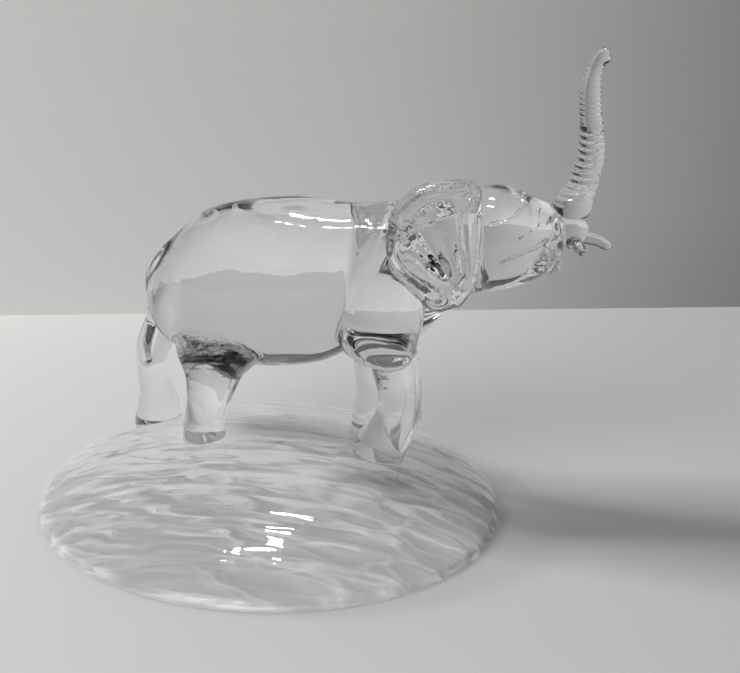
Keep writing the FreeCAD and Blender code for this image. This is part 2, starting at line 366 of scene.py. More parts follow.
# %% Ringed trunk
class RingedTrunk(Loft):
    """A tapering column with shallow rings pinched into it."""

    ring_gap = 2.4
    ring_depth = 0.62
    fine_gap = 1.7
    fine_depth = 0.14

    def __call__(self, p):
        skin = super().__call__(p)
        up = p[UP]
        middle = self.first(up)[0]
        behind = fade(middle - p[AHEAD], -4, 4)
        low_part = fade(up, 84, 88) * (1 - fade(up, 110, 114))
        high_part = fade(up, 112, 116) * (1 - fade(up, 130, 134))
        pinch = (0.5 + 0.5 * np.cos(2 * math.pi * up / self.ring_gap)) ** 2
        fine = 0.5 + 0.5 * np.cos(2 * math.pi * up / self.fine_gap)
        depth = self.ring_depth * (0.25 + 0.75 * behind) * low_part * pinch
        return skin + depth + self.fine_depth * high_part * fine


trunk_rows = [(78, 142.5, 0), (81, 143.3, 5), (84, 143.5, 6.4), (89, 144.4, 6.2),
              (91.6, 145.9, 5.3), (95.5, 147, 5.1), (100.5, 148.1, 4.75), (105.6, 148.4, 4.45),
              (112, 148, 4), (118, 147.3, 3.7), (124.2, 146.9, 3.3), (128.5, 147.2, 2.9),
              (132, 148.3, 2.6), (135.4, 149.8, 2.5), (138.7, 151, 0)]
lay("trunk", Drop((142.6, 0, 77), 6.8), 1.2)
lay("trunk", RingedTrunk(COLUMN, [(up, ahead, 0, r, r) for up, ahead, r in trunk_rows]), 1.2)
lay("trunk", Drop((151, 0, 134.3), 1.9), 1)

# %% Tusks
lay("tusk_left", Rod([(145.1, 4.5, 74.2, 2.2), (149.7, 5.5, 72.8, 2.2), (152.9, 6.4, 72, 2.1),
                      (155.4, 7, 70.4, 1.9)]), 1)
lay("tusk_right", Rod([(144.1, -4.5, 74.5, 2), (146, -6.8, 73.3, 2), (147.6, -9, 72, 1.7)]), 1)

# %% [markdown]
# ## Ears
# An ear is a dished flap with a thick rolled rim. Its outline is a distance from a middle point
# that changes with the angle, so the same few points make the flap and the round rim along it. The
# flap's outer face is dished and pressed into flutes that run out from its lowest front corner,
# and the top and the front edge are folded over into soft rolls.

# %% The ear's outline
EAR_MIDDLE = (100.5, 74.5)
EAR_RIM = 1.8
ear_edge = [(91.8, 89.2), (88.8, 86), (86.1, 82.9), (84.8, 78.7), (84.3, 73.8), (84.4, 70.4),
            (86.2, 66.1), (89.3, 62.2), (92.7, 58.9), (95.4, 55.5), (97.8, 52.7), (102.7, 51.4),
            (106.6, 52.9), (110.9, 58.4), (112.4, 67.6), (113.7, 72.8), (114.8, 77.8),
            (114.6, 84), (114.1, 89.8), (112.5, 92.6), (109.8, 94.1), (106.7, 94.2),
            (102, 93.9), (97.3, 92.4)]
ear_angles = np.unwrap([math.atan2(up - EAR_MIDDLE[1], ahead - EAR_MIDDLE[0])
                        for ahead, up in ear_edge])
ear_reach = [math.hypot(ahead - EAR_MIDDLE[0], up - EAR_MIDDLE[1]) for ahead, up in ear_edge]
EAR_WRAP = 6
turned = np.r_[ear_angles[-EAR_WRAP:] - 2 * math.pi, ear_angles, ear_angles[:EAR_WRAP] + 2 * math.pi]
wrapped = np.r_[ear_reach[-EAR_WRAP:], ear_reach, ear_reach[:EAR_WRAP]]
EAR_OUTLINE = Curve(turned, wrapped)
print("ear outline from", round(min(ear_reach), 1), "to", round(max(ear_reach), 1), "mm")


# %% The ear as a shape
class Ear:
    """A right ear: a dished and fluted flap, its rolled rim and its folds."""

    low = np.array([81, -27, 48.0])
    high = np.array([118, -5, 97.0])
    stand_off = 20
    corner = (110, 53)
    flute_turns = 5.5
    flute_depth = 3.0
    dish_depth = 6.2

    def __init__(self):
        top = [(87.5, 83, 2.5), (92, 87.5, 3.6), (98, 90, 4), (104, 90.8, 3.6), (109.5, 91.8, 2.5)]
        front = [(112, 91, 2.2), (110.5, 86, 3.4), (110.6, 80, 3.8), (111.3, 74, 3.4),
                 (112, 68, 2.6), (111.5, 61, 2.2), (108, 55, 1.8)]
        self.top = Rod(self.laid(top, 0.3))
        self.front = Rod(self.laid(front, 0.6))

    def lean(self, ahead, up):
        """How far out from the animal's middle the flap stands."""
        return self.stand_off - 0.14 * (ahead - 100) - 0.03 * np.maximum(up - 78, 0) ** 2

    def laid(self, rows, proud):
        return [(ahead, -self.lean(ahead, up) - proud, up, radius) for ahead, up, radius in rows]

    def __call__(self, p):
        ahead = p[AHEAD] - EAR_MIDDLE[0]
        up = p[UP] - EAR_MIDDLE[1]
        angle = np.arctan2(up, ahead)
        angle = np.where(angle < turned[EAR_WRAP], angle + 2 * math.pi, angle)
        reach = np.hypot(ahead, up)
        edge, swing = EAR_OUTLINE(angle)
        beside = (reach - edge) / np.sqrt(1 + (swing / edge) ** 2)
        out = -p[LEFT] - self.lean(p[AHEAD], p[UP])
        inner = np.clip(reach / edge, 0, 1)
        behind = self.corner[0] - p[AHEAD]
        above = p[UP] - self.corner[1]
        from_corner = np.hypot(above, behind)
        turn = self.flute_turns * np.arctan2(above, behind)
        flutes = np.abs(np.sin(turn + 0.02 * from_corner)) * fade(from_corner, 6, 16)
        outer_face = out - 0.2 - self.flute_depth * flutes * (1 - fade(inner, 0.7, 0.92))
        inner_face = -out - EAR_RIM - self.dish_depth * (1 - inner**2)
        flap = soft_max(soft_max(outer_face, inner_face, 1), beside + EAR_RIM, 1)
        rim = np.hypot(beside + EAR_RIM, out) - EAR_RIM
        ear = soft_min(flap, rim, 1.5)
        ear = soft_min(ear, self.top(p), 1.5)
        return soft_min(ear, self.front(p), 1.2)


lay("ear_right", Ear(), 1.2)
EAR_DROP = 9
lay("ear_left", Ear(), 1.2, flip=True, moved=(0, 0, -EAR_DROP))

# %% [markdown]
# ## Lines drawn with a tool
# The mouth and the arc of the brow were drawn into the soft glass with a blunt tool, and a notch
# parts the lip from the trunk. Grooves are taken away after everything has been joined.

# %% Mouth, brow and notch
grooves = []


def draw(rows, blend=0.6):
    """A groove on the right side of the head, and a fainter one on the left."""
    for flip, depth in ((False, 1.0), (True, 0.5)):
        right = [(ahead, -out, up, depth * radius) for ahead, out, up, radius in rows]
        grooves.append(Bit("groove", Rod(right), blend, flip))


mouth = [(135.4, 8, 74.9, 0.8), (133.2, 9.5, 73.4, 0.8), (130.7, 11, 72.3, 0.7),
         (126, 13, 70.5, 0.6), (121.3, 15, 68.4, 0.5)]
brow = [(117.7, 15.3, 81.1, 0.5), (122.1, 13.9, 82.7, 0.6), (125.8, 11.1, 84.2, 0.6),
        (127.4, 7.3, 86.4, 0.6), (125.9, 4.8, 88, 0.5), (121, 3, 90, 0.4)]
draw(mouth)
draw(brow, 0.4)
grooves.append(Bit("groove", Rod([(136, -14, 71.5, 1.6), (136, 14, 71.5, 1.6)]), 1))

# %% The whole figure as one distance
FAR = 12.0
WAVE = 0.12


def figure(p):
    """Distance to the joined glass, right near its skin and no more than FAR elsewhere."""
    d = np.full(p.shape[1], FAR)
    for bit in bits:
        near = bit.near(p, FAR)
        if near.any():
            d[near] = soft_min(d[near], bit.distance(p[:, near]), bit.blend)
    for cut in grooves:
        near = cut.near(p, 2)
        if near.any():
            d[near] = soft_max(d[near], -cut.distance(p[:, near]), cut.blend)
    wave = np.sin(p[AHEAD] / 4.1 + 0.5) * np.sin(p[LEFT] / 3.7 + 1.1) * np.sin(p[UP] / 4.6)
    return d + WAVE * wave


# %% [markdown]
# ## From a distance to a skin
# The skin is found on a fine grid. Only blocks that lie near the surface are worked out. Each
# grid cell that the surface crosses gets one point, and each grid edge that it crosses joins four
# of them in a face. The points are then evened out and moved on to the exact surface, and
# the distance's own slope gives the normals, so that refraction stays smooth.

# %% Find the skin
BLOCK = 6
CORNERS = np.array([(i, j, k) for i in (0, 1) for j in (0, 1) for k in (0, 1)])
EDGES = [(a, b) for a in range(8) for b in range(a + 1, 8)
         if np.abs(CORNERS[a] - CORNERS[b]).sum() == 1]


def in_parts(field, points, size=300000):
    """The field at many points, worked out a part at a time."""
    return np.concatenate([field(points[:, i:i + size])
                           for i in range(0, points.shape[1], size)])


def grid_values(field, low, step, counts):
    """The field on a grid, exact near the surface and rough elsewhere."""
    blocks = -(-counts // BLOCK)
    index = np.indices(blocks).reshape(3, -1)
    centres = low[:, None] + (index * BLOCK + (BLOCK - 1) / 2) * step
    rough = in_parts(field, centres)
    close = np.abs(rough) < 1.8 * BLOCK * step * math.sqrt(3) / 2
    values = rough.reshape(blocks)
    active = close.reshape(blocks)
    for axis in range(3):
        values = values.repeat(BLOCK, axis)
        active = active.repeat(BLOCK, axis)
    room = tuple(slice(0, n) for n in counts)
    values = np.ascontiguousarray(values[room])
    active = np.ascontiguousarray(active[room])
    chosen = np.array(np.nonzero(active))
    values[active] = in_parts(field, low[:, None] + chosen * step)
    return values


def untangle(values, step):
    """Fills the few places where two skins would share an edge, until there are none."""
    filled = 0
    for _ in range(20):
        found = 0
        for axis in range(3):
            turned = np.moveaxis(values, axis, 0)
            for near, far in ((slice(0, -1), slice(1, None)), (slice(1, None), slice(0, -1))):
                a = turned[:, :-1, near] < 0
                d = turned[:, 1:, far] < 0
                b = turned[:, 1:, near] < 0
                c = turned[:, :-1, far] < 0
                tangled = np.argwhere(a & d & ~b & ~c)
                found += len(tangled)
                for i, j, k in tangled:
                    beside = (i, j + 1, k + near.start)
                    turned[beside] = min(turned[beside], -0.05 * step)
        filled += found
        if not found:
            break
    return filled


def crossing_cells(values):
    """One point for each cell that the surface crosses, and each cell's number."""
    inside = values < 0
    some = np.zeros(np.array(values.shape) - 1, bool)
    every = np.ones_like(some)
    for corner in CORNERS:
        part = inside[tuple(slice(c, c + n) for c, n in zip(corner, some.shape))]
        some |= part
        every &= part
    cells = np.argwhere(some & ~every)
    number = np.full(some.shape, -1, np.int32)
    number[tuple(cells.T)] = np.arange(len(cells))
    at = np.array([values[tuple((cells + corner).T)] for corner in CORNERS])
    total = np.zeros((len(cells), 3))
    hits = np.zeros(len(cells))
    for a, b in EDGES:
        crossed = (at[a] < 0) != (at[b] < 0)
        share = at[a][crossed] / (at[a][crossed] - at[b][crossed])
        total[crossed] += CORNERS[a] + share[:, None] * (CORNERS[b] - CORNERS[a])
        hits[crossed] += 1
    return cells + total / hits[:, None], number


def crossing_faces(values, number):
    """A face of four cells round each grid edge that the surface crosses, facing outwards."""
    inside = values < 0
    faces = []
    for axis in range(3):
        side_a, side_b = (axis + 1) % 3, (axis + 2) % 3
        start = np.moveaxis(inside, axis, 0)[:-1]
        end = np.moveaxis(inside, axis, 0)[1:]
        edges = np.argwhere(np.moveaxis(start != end, 0, axis))
        edges = edges[(edges[:, side_a] > 0) & (edges[:, side_b] > 0)]
        leaving = inside[tuple(edges.T)]
        step_a = np.eye(3, dtype=int)[side_a]
        step_b = np.eye(3, dtype=int)[side_b]
        ring = [edges - step_a - step_b, edges - step_b, edges, edges - step_a]
        quad = np.array([number[tuple(cell.T)] for cell in ring]).T
        quad[~leaving] = quad[~leaving][:, ::-1]
        faces.append(quad)
    return np.concatenate(faces)


# %% Settle the skin on the surface
PROBE = 0.06
CORNER_WAYS = np.array([(1, -1, -1), (-1, -1, 1), (-1, 1, -1), (1, 1, 1.0)]).T


def sloped(field, points):
    """The field and its slope at each point, from four probes round it."""
    probes = [in_parts(field, points + PROBE * way[:, None]) for way in CORNER_WAYS.T]
    return sum(probes) / 4, CORNER_WAYS @ np.array(probes) / (4 * PROBE)


def relax(points, quads):
    """Each point moved to the middle of its neighbours."""
    near = np.concatenate([quads[:, [i, (i + 1) % 4]] for i in range(4)])
    near = np.concatenate([near, near[:, ::-1]])
    count = np.bincount(near[:, 0], minlength=len(points))
    sums = [np.bincount(near[:, 0], points[near[:, 1], axis], len(points)) for axis in range(3)]
    return np.array(sums).T / count[:, None]


def settle(field, points, most):
    """Each point moved straight to the field's zero, but no further than most."""
    value, slope = sloped(field, points.T)
    size = np.maximum((slope * slope).sum(0), 0.05)
    move = (value * slope / size).T
    length = np.linalg.norm(move, axis=1, keepdims=True)
    return points - move * np.minimum(1, most / np.maximum(length, 1e-9))


def skin(field, low, high, step):
    """Points, normals and triangles of the field's skin."""
    counts = np.ceil((high - low) / step).astype(int) + 1
    values = grid_values(field, low, step, counts)
    print("places filled:", untangle(values, step))
    points, number = crossing_cells(values)
    quads = crossing_faces(values, number)
    points = low + points * step
    for _ in range(2):
        points = settle(field, relax(points, quads), step / 2)
    points = settle(field, points, step / 2)
    slope = sloped(field, points.T)[1].T
    normals = slope / np.linalg.norm(slope, axis=1, keepdims=True)
    across = [np.linalg.norm(points[quads[:, i]] - points[quads[:, i + 2]], axis=1) for i in (0, 1)]
    first = across[0] < across[1]
    triangles = np.concatenate([
        quads[first][:, [0, 1, 2]], quads[first][:, [0, 2, 3]],
        quads[~first][:, [1, 2, 3]], quads[~first][:, [1, 3, 0]]])
    return points, normals, triangles


STEP = 0.6
MARGIN = 3
room_low = np.min([bit.low for bit in bits], axis=0) - MARGIN
room_high = np.max([bit.high for bit in bits], axis=0) + MARGIN
rearmost_foot = np.array([[-10.0], [STANCE], [0]])
room_low[UP] = dome_up(rearmost_foot)[0] - 5
figure_skin = skin(figure, room_low, room_high, STEP)
print("skin:", len(figure_skin[0]), "points,", len(figure_skin[2]), "triangles")

# %% [markdown]
# ## Parting the skin into its pieces
# The gathers are fused, but each one is still its own piece of glass. The skin is cut where two
# gathers are equally near, and both sides of a cut are closed with the same faces. These faces
# are marked as joints: light crosses a fused joint without bending, so they get their own finish.

# %% The cutter
class Skin:
    """Points, normals and triangles, with a mark on the triangles that are joints."""

    def __init__(self, points, normals, triangles, joint=None):
        self.points = points
        self.normals = normals
        self.triangles = triangles
        self.joint = np.zeros(len(triangles), bool) if joint is None else joint

    def compact(self):
        """The same skin without the points that no triangle uses."""
        used, triangles = np.unique(self.triangles, return_inverse=True)
        return Skin(self.points[used], self.normals[used], triangles.reshape(-1, 3), self.joint)


def rings_of(starts, ends):
    """The closed rings that a set of directed edges makes."""
    follow = dict(zip(starts.tolist(), ends.tolist()))
    rings = []
    while follow:
        ring = [next(iter(follow))]
        while ring[-1] in follow:
            ring.append(follow.pop(ring[-1]))
        rings.append(ring[:-1])
    return rings


def split(whole, value, close=True):
    """The parts of a skin where value is below and above zero, each closed over the cut."""
    below = value < 0
    count = below[whole.triangles].sum(1)
    mixed = (count > 0) & (count < 3)
    cut = whole.triangles[mixed]
    side = below[cut]
    single = side.sum(1) == 1
    lone = np.where(single, side.argmax(1), (~side).argmax(1))
    row = np.arange(len(cut))
    a, b, c = (cut[row, (lone + turn) % 3] for turn in range(3))
    edges = np.sort(np.concatenate([np.array([a, b]), np.array([a, c])], axis=1).T, axis=1)
    edges, which = np.unique(edges, axis=0, return_inverse=True)
    which = which.ravel() + len(whole.points)
    at = value[edges]
    share = np.clip(at[:, 0] / (at[:, 0] - at[:, 1]), 0.05, 0.95)[:, None]
    ab, ac = which[:len(cut)], which[len(cut):]
    first, second = edges.T
    points = [whole.points, whole.points[first] * (1 - share) + whole.points[second] * share]
    normals = [whole.normals, whole.normals[first] * (1 - share) + whole.normals[second] * share]
    starts = np.where(single, ab, ac)
    ends = np.where(single, ac, ab)
    rings = rings_of(starts, ends) if close else []
    joined = np.concatenate(points)
    joined_normals = np.concatenate(normals)
    caps = []
    centres = []
    for ring in rings:
        centre = len(joined) + len(centres)
        centres.append(joined[ring].mean(0))
        caps += [(ring[i], ring[(i + 1) % len(ring)], centre) for i in range(len(ring))]
    if rings:
        joined = np.concatenate([joined, centres])
        joined_normals = np.concatenate([joined_normals, np.tile([0, 0, 1.0], (len(centres), 1))])
    joined_normals = joined_normals / np.linalg.norm(joined_normals, axis=1, keepdims=True)
    caps = np.array(caps, int).reshape(-1, 3)
    tip = np.array([a, ab, ac]).T
    rest = np.array([ab, b, c]).T, np.array([ab, c, ac]).T
    joint = whole.joint[mixed]
    parts = []
    for wanted, keep, cap in ((True, count == 3, caps[:, ::-1]), (False, count == 0, caps)):
        tips = single == wanted
        triangles = [whole.triangles[keep], tip[tips], rest[0][~tips], rest[1][~tips], cap]
        marks = [whole.joint[keep], joint[tips], joint[~tips], joint[~tips], np.ones(len(cap), bool)]
        parts.append(Skin(joined, joined_normals, np.concatenate(triangles),
                          np.concatenate(marks)).compact())
    return parts[0], parts[1], len(rings)


# %% Cut the feet to the dome, then part the gathers
def nearest(chosen, p):
    """Distance to the nearest of some bits."""
    d = np.full(p.shape[1], FAR)
    for bit in chosen:
        near = bit.near(p, FAR)
        if near.any():
            d[near] = np.minimum(d[near], bit.distance(p[:, near]))
    return d


def ownership(name, left_over):
    """Below zero where the named piece is nearer than everything left."""
    mine = [bit for bit in left_over if bit.piece == name]
    others = [bit for bit in left_over if bit.piece != name]

    def value(p):
        result = np.ones(p.shape[1])
        near = np.any([bit.near(p, 5) for bit in mine], axis=0)
        result[near] = nearest(mine, p[:, near]) - nearest(others, p[:, near])
        return result

    return value


whole = Skin(*figure_skin)
_, whole, feet = split(whole, whole.points[:, UP] - dome_up(whole.points.T) - FILM)
print("feet cut to the dome:", feet)
pieces = {}
left_over = list(bits)
for name in ("front_leg_right", "front_leg_left", "hind_leg_right", "hind_leg_left",
             "shoulder_right", "shoulder_left", "ear_right", "ear_left", "tusk_left",
             "tusk_right", "trunk", "lower_jaw", "tail"):
    value = ownership(name, left_over)
    pieces[name], whole, seams = split(whole, value(whole.points.T))
    left_over = [bit for bit in left_over if bit.piece != name]
    print(name, len(pieces[name].triangles), "triangles,", seams, "seams")
NECK = (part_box("head")[0].x - RUMP) / MM
pieces["torso"], pieces["head"], seams = split(whole, whole.points[:, AHEAD] - NECK)
print("neck seams:", seams)

# %% [markdown]
# ## Sums on sockets
# Both the shape of the base and the finishes need sums inside node trees. This small class lets
# them be written as plain sums: each sign adds its own Math node.

# %% Sums on sockets
class Wire:
    """An output socket that can be used in sums."""

    def __init__(self, graph, socket):
        self.graph = graph
        self.socket = socket

    def __add__(self, other):
        return self.graph.math("ADD", self, other)

    def __radd__(self, other):
        return self.graph.math("ADD", other, self)

    def __sub__(self, other):
        return self.graph.math("SUBTRACT", self, other)

    def __rsub__(self, other):
        return self.graph.math("SUBTRACT", other, self)

    def __mul__(self, other):
        return self.graph.math("MULTIPLY", self, other)

    def __rmul__(self, other):
        return self.graph.math("MULTIPLY", other, self)

    def __truediv__(self, other):
        return self.graph.math("DIVIDE", self, other)

    def __rtruediv__(self, other):
        return self.graph.math("DIVIDE", other, self)


class Graph:
    """A node tree and the two ways of adding to it: any node, or a Math node."""

    def __init__(self, tree):
        self.tree = tree

    def node(self, kind, settings=None, inputs=None):
        made = self.tree.nodes.new(kind)
        for name, value in (settings or {}).items():
            setattr(made, name, value)
        for name, value in (inputs or {}).items():
            if isinstance(value, Wire):
                self.tree.links.new(value.socket, made.inputs[name])
            else:
                made.inputs[name].default_value = value
        return made

    def wire(self, kind, settings=None, inputs=None, output=0):
        return Wire(self, self.node(kind, settings, inputs).outputs[output])

    def math(self, operation, *values):
        return self.wire("ShaderNodeMath", {"operation": operation}, dict(enumerate(values)))

    def clamp(self, value, low=0.0, high=1.0):
        return self.math("MAXIMUM", self.math("MINIMUM", value, high), low)

    def step(self, value, start, end):
        """0 before start, 1 after end and a smooth change between them."""
        inputs = {"Value": value, "From Min": start, "From Max": end}
        return self.wire("ShaderNodeMapRange", {"interpolation_type": "SMOOTHSTEP"}, inputs)

    def split(self, vector):
        made = self.node("ShaderNodeSeparateXYZ", None, {0: vector})
        return [Wire(self, made.outputs[i]) for i in range(3)]

    def join(self, x, y, z):
        return self.wire("ShaderNodeCombineXYZ", None, {0: x, 1: y, 2: z})

    def noise(self, vector, scale, detail=2.0, roughness=0.5):
        inputs = {"Vector": vector, "Scale": scale, "Detail": detail, "Roughness": roughness}
        return self.wire("ShaderNodeTexNoise", None, inputs)

    def moved(self, vector, scale):
        """The vector with each part multiplied by its own number."""
        return self.wire("ShaderNodeVectorMath", {"operation": "MULTIPLY"}, {0: vector, 1: scale})


# %% [markdown]
# ## The finishes
# Everything is one clear crystal. What changes is how its surface was left: fire-polished on the
# figure, polished with faint ripples on the dome, and frosted with pressed waves underneath.
# Lamps shine through glass, so a ray on its way to a lamp meets a clear grey filter instead of the
# refracting skin: that keeps the soft grey shadow that glass really throws. Where a bit was pressed
# on, the glass also keeps the marks of the tool. A noise's scale is about its lumps in a metre.

# %% Clear crystal
GLASS_INDEX = 1.52
FIGURE_FILTER = 0.16
BASE_FILTER = 0.9
FILM_FILTER = 0.85


def new_material(name):
    material = bpy.data.materials.new(name)
    material.use_nodes = True
    material.node_tree.nodes.clear()
    return material, Graph(material.node_tree)


def show(graph, shader):
    graph.node("ShaderNodeOutputMaterial", None, {"Surface": shader})


def between(graph, factor, first, second):
    """A shader between two others."""
    return graph.wire("ShaderNodeMixShader", None, {0: factor, 1: first, 2: second})


def tint(graph, factor, first, second):
    """A colour between two others."""
    colours = {0: factor, 6: (*first, 1), 7: (*second, 1)}
    return graph.wire("ShaderNodeMix", {"data_type": "RGBA"}, colours, 2)


def opaque(graph, colour, roughness):
    return graph.wire("ShaderNodeBsdfPrincipled", None, {"Base Color": colour, "Roughness": roughness})


def let_lamps_through(graph, shader, level):
    lamp_ray = graph.wire("ShaderNodeLightPath", output="Is Shadow Ray")
    filter_colour = (level, level, level, 1)
    clear = graph.wire("ShaderNodeBsdfTransparent", None, {"Color": filter_colour})
    return between(graph, lamp_ray, shader, clear)


def glass(graph, colour, roughness, normal=None):
    inputs = {"Base Color": colour, "Roughness": roughness, "IOR": GLASS_INDEX,
              "Transmission Weight": 1.0}
    if normal:
        inputs["Normal"] = normal
    return graph.wire("ShaderNodeBsdfPrincipled", None, inputs)


def place(graph):
    return graph.wire("ShaderNodeTexCoord", output="Object")


def bump(graph, height, distance, strength=1.0):
    inputs = {"Height": height, "Distance": distance, "Strength": strength}
    return graph.wire("ShaderNodeBump", None, inputs)


WORKED = [(27, 36, 17), (14, 62, 14), (98, 70, 17), (84, 82, 14), (78, 26, 13)]


def worked(graph, spot):
    """1 where a bit was pressed on, 0 where the fire smoothed the glass. A row of WORKED is
    a place ahead and up, on both sides, and how far the marks reach."""
    most = 0.0
    flat = graph.moved(spot, (1.0, 0.0, 1.0))
    for ahead, up, reach in WORKED:
        centre = to_frame(np.array([ahead, 0, up]))
        away = graph.wire("ShaderNodeVectorMath", {"operation": "DISTANCE"},
                          {0: flat, 1: (centre[0], 0.0, centre[2])}, "Value")
        most = graph.math("MAXIMUM", most, 1 - graph.step(away, 0.3 * reach * MM, reach * MM))
    return most


clear_crystal, graph = new_material("clear_crystal")
spot = place(graph)
ripple = graph.noise(spot, 55.0, 1.0)
combed = graph.noise(graph.moved(spot, (0.5, 1.0, 1.0)), 230.0, 2.0)
polish = graph.noise(spot, 900.0, 2.0)
dulled = 0.02 * graph.step(polish, 0.62, 0.8)
skin_normal = bump(graph, ripple + 0.9 * worked(graph, spot) * combed, 0.8 * MM)
shader = glass(graph, (0.985, 0.99, 0.99, 1), dulled, skin_normal)
show(graph, let_lamps_through(graph, shader, FIGURE_FILTER))

# %% The fused joint
fused_joint, graph = new_material("fused_joint")
show(graph, graph.wire("ShaderNodeBsdfPrincipled", None, {"Alpha": 0.0}))

# %% [markdown]
# ## The waves under the base
# The mould pressed long, shallow waves into the underside. Their crests are the edges between cells
# that are drawn out along x and bent by slow noise. The same distance shapes the mesh and whitens
# the frost along the crests, so it is written once, for either kind of tree.

# %% Pressed waves
WAVE_BEND = 14 * MM
WAVE_SQUEEZE = 0.24
BROAD_CELLS = 75.0
SMALL_CELLS = 160.0


def cell_edge(graph, position, scale):
    """How far a place is from the nearest edge between cells that are drawn out along x."""
    x, y, _ = graph.split(position)
    bend_x = graph.noise(position, 26.0, 2.0) - 0.5
    bend_y = graph.noise(graph.moved(position, (1.0, 1.0, 0.0)), 17.0, 2.0) - 0.5
    along = WAVE_SQUEEZE * x + WAVE_BEND * bend_x
    across = y + 0.1 * x + 1.5 * WAVE_BEND * bend_y
    inputs = {"Vector": graph.join(along, across, 0.0), "Scale": scale}
    return graph.wire("ShaderNodeTexVoronoi", {"feature": "DISTANCE_TO_EDGE"}, inputs, "Distance")


def waves(graph, position):
    """How far a place is from the crests of the broad waves and of the small ones."""
    return cell_edge(graph, position, BROAD_CELLS), cell_edge(graph, position, SMALL_CELLS)


frosted_crystal, graph = new_material("frosted_crystal")
spot = place(graph)
broad, small = waves(graph, spot)
grain = graph.noise(spot, 2600.0, 2.0)
cloud = graph.noise(graph.moved(spot, (0.6, 1.0, 1.0)), 40.0, 3.0)
crests = 0.65 * (1 - graph.step(broad, 0.0, 0.1)) + 0.35 * (1 - graph.step(small, 0.0, 0.13))
cloudy = graph.step(cloud, 0.35, 0.7)
white = graph.clamp(0.44 + 0.12 * cloudy + crests * (0.2 + 0.4 * cloudy))
frost = glass(graph, (0.97, 0.975, 0.97, 1), 0.35, bump(graph, grain, 0.04 * MM))
powder = opaque(graph, (0.94, 0.94, 0.93, 1), 0.9)
show(graph, let_lamps_through(graph, between(graph, white, frost, powder), BASE_FILTER))

# %% Polished top and the film under the feet
polished_crystal, graph = new_material("polished_crystal")
spot = place(graph)
flow = graph.noise(graph.moved(spot, (0.3, 1.0, 1.0)), 210.0, 0.0)
broad = graph.noise(graph.moved(spot, (0.35, 1.0, 1.0)), 70.0, 0.0)
top_normal = bump(graph, flow + 0.8 * broad, 0.9 * MM)
_, _, up = graph.split(spot)
# Painted shade: the upright edge band is tinted darker, standing in for the dark room seen in it by
# internal reflection.
rim_band_shade = 1 - graph.step(up, RIM - 0.5 * MM, RIM + 0.7 * MM)
colour = tint(graph, rim_band_shade, (0.985, 0.99, 0.985), (0.72, 0.74, 0.73))
show(graph, let_lamps_through(graph, glass(graph, colour, 0.02, top_normal), BASE_FILTER))

bond_film, graph = new_material("bond_film")
spot = place(graph)
patchy = graph.noise(spot, 700.0, 2.0)
film = glass(graph, (0.99, 0.99, 0.99, 1), 0.2)
haze = opaque(graph, (0.9, 0.9, 0.9, 1), 0.5)
show(graph, let_lamps_through(graph, between(graph, 0.6 * patchy, film, haze), FILM_FILTER))

# %% [markdown]
# ## The base, turned by a rule
# The whole base follows a rule: its outline is an arc, an upright edge, a small round and a flat
# underside, turned about the middle. So Geometry Nodes make it from one grid. Going along the
# grid follows the outline, and going across it goes round the base. The outline is a sum of
# stretches that each start where the last one ends, and the waves are added at the end.

# %% The base's node tree
DOME_ROWS = 64
EDGE_ROWS = 3
ROUND_ROWS = 4
UNDER_ROWS = 90
AROUND = 560
EDGE_ROUND = 1.2 * MM


